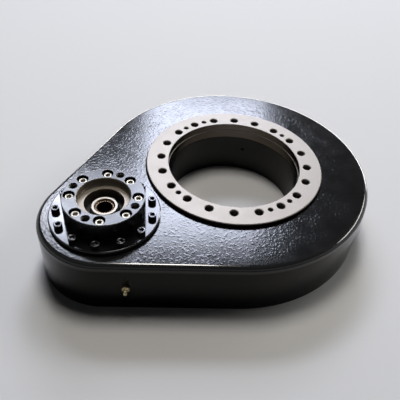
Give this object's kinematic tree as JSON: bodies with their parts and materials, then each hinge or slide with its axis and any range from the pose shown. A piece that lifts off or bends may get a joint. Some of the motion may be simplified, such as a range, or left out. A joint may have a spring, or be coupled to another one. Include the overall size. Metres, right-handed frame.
{
  "type": "slew drive",
  "caption": "Spur-gear slew drive: a bored output ring on a slewing bearing, turned by a splined pinion under a motor flange, in a teardrop cast housing.",
  "frame": {"origin": "on the ring's turning axis, in the plane of the underside of the base plate", "axes": "+Z along the ring's axis, up through the output face; +X away from the pinion, along the housing's length"},
  "size_m": [0.5939, 0.476, 0.1365],
  "materials": {
    "painted_casting": "gloss black enamel over cast skin",
    "turned_steel": "fine turned and ground bearing steel",
    "gear_steel": "cut and oiled gear steel",
    "zinc_screws": "bright zinc plate",
    "black_screws": "black oxide",
    "seal_rubber": "moulded nitrile rubber",
    "cage_brass": "machined brass",
    "spacer_nylon": "moulded nylon",
    "nipple_plate": "yellow zinc plate"
  },
  "bodies": {
    "gearbox": {"housing": "painted_casting", "base_plate": "painted_casting", "motor_flange": "painted_casting", "motor_adapter": "painted_casting", "base_plate_screws": "black_screws", "base_plate_dowels": "gear_steel", "race_transport_screws": "black_screws", "inner_race": "turned_steel", "race_filling_plug": "turned_steel", "filling_plug_pin": "gear_steel", "inner_race_seal": "seal_rubber", "ring_seal": "seal_rubber", "motor_flange_seal": "seal_rubber", "shaft_seal": "seal_rubber", "motor_flange_screws": "black_screws", "motor_adapter_screws": "zinc_screws", "grease_nipple": "nipple_plate", "lower_bearing_outer_ring": "turned_steel", "upper_bearing_outer_ring": "turned_steel"},
    "output_ring": {"ring_gear": "turned_steel"},
    "pinion": {"pinion_shaft": "gear_steel", "lower_bearing_inner_ring": "turned_steel", "upper_bearing_inner_ring": "turned_steel"},
    "slewing_roller_train": {"crossed_rollers": "turned_steel", "roller_spacers": "spacer_nylon"},
    "lower_bearing_train": {"lower_bearing_rollers": "turned_steel", "lower_bearing_cage": "cage_brass"},
    "upper_bearing_train": {"upper_bearing_rollers": "turned_steel", "upper_bearing_cage": "cage_brass"}
  },
  "joints": [
    {"name": "ring_turn", "type": "hinge", "parent": "gearbox", "child": "output_ring", "pos_m": [0, 0, 0.05], "axis": [0, 0, 1], "continuous": true},
    {"name": "pinion_spin", "type": "hinge", "parent": "gearbox", "child": "pinion", "pos_m": [-0.25, 0, 0.05], "axis": [0, 0, 1], "continuous": true},
    {"name": "slewing_rollers_orbit", "type": "hinge", "parent": "gearbox", "child": "slewing_roller_train", "pos_m": [0, 0, 0.05], "axis": [0, 0, 1], "continuous": true},
    {"name": "lower_cage_spin", "type": "hinge", "parent": "gearbox", "child": "lower_bearing_train", "pos_m": [-0.25, 0, 0.05], "axis": [0, 0, 1], "continuous": true},
    {"name": "upper_cage_spin", "type": "hinge", "parent": "gearbox", "child": "upper_bearing_train", "pos_m": [-0.25, 0, 0.05], "axis": [0, 0, 1], "continuous": true}
  ],
  "couplings": [
    {"joint": "pinion_spin", "follows": "ring_turn", "ratio": -4},
    {"joint": "slewing_rollers_orbit", "follows": "ring_turn", "ratio": 0.5},
    {"joint": "lower_cage_spin", "follows": "ring_turn", "ratio": -1.6914},
    {"joint": "upper_cage_spin", "follows": "ring_turn", "ratio": -1.6914}
  ]
}
